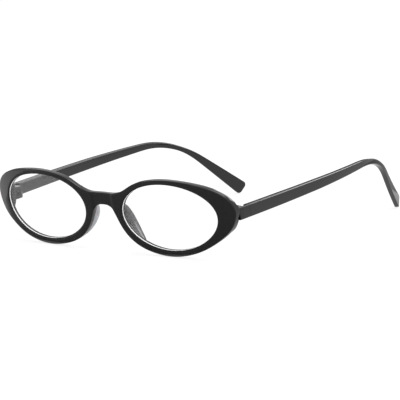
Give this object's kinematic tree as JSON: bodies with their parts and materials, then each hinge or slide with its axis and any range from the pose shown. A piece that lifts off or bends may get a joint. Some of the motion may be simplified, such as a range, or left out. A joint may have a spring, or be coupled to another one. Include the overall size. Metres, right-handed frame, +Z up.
{
  "type": "oval eyeglasses",
  "caption": "Oval full-rim eyeglasses in thin black moulded plastic, with clear lenses, grey nose pads and temples that fold on screw hinges.",
  "frame": {"origin": "middle of the footprint, on the table that the rims and temple tips stand on", "axes": "+X across the face, to the right as seen from in front; +Y from the front towards the temple tips; +Z up"},
  "size_m": [0.1384, 0.1518, 0.0339],
  "materials": {
    "frame_plastic": "polished black moulded plastic",
    "lens_clear": "clear coated lens",
    "pad_grey": "smoky grey pad",
    "screw_steel": "plain steel screw",
    "nut_steel": "plain steel nut"
  },
  "bodies": {
    "front": {"front_frame": "frame_plastic", "lens_left": "lens_clear", "lens_right": "lens_clear", "nose_pad_left": "pad_grey", "nose_pad_right": "pad_grey", "hinge_screw_left": "screw_steel", "hinge_screw_right": "screw_steel", "hinge_nut_left": "nut_steel", "hinge_nut_right": "nut_steel"},
    "temple_left": {"temple_left": "frame_plastic"},
    "temple_right": {"temple_right": "frame_plastic"}
  },
  "joints": [
    {"name": "temple_left_fold", "type": "hinge", "parent": "front", "child": "temple_left", "pos_m": [-0.0639, -0.06034, 0.0196], "axis": [0, 0.0927, -0.9957], "range_deg": [0, 86]},
    {"name": "temple_right_fold", "type": "hinge", "parent": "front", "child": "temple_right", "pos_m": [0.0639, -0.06034, 0.0196], "axis": [0, -0.0927, 0.9957], "range_deg": [0, 72]}
  ]
}
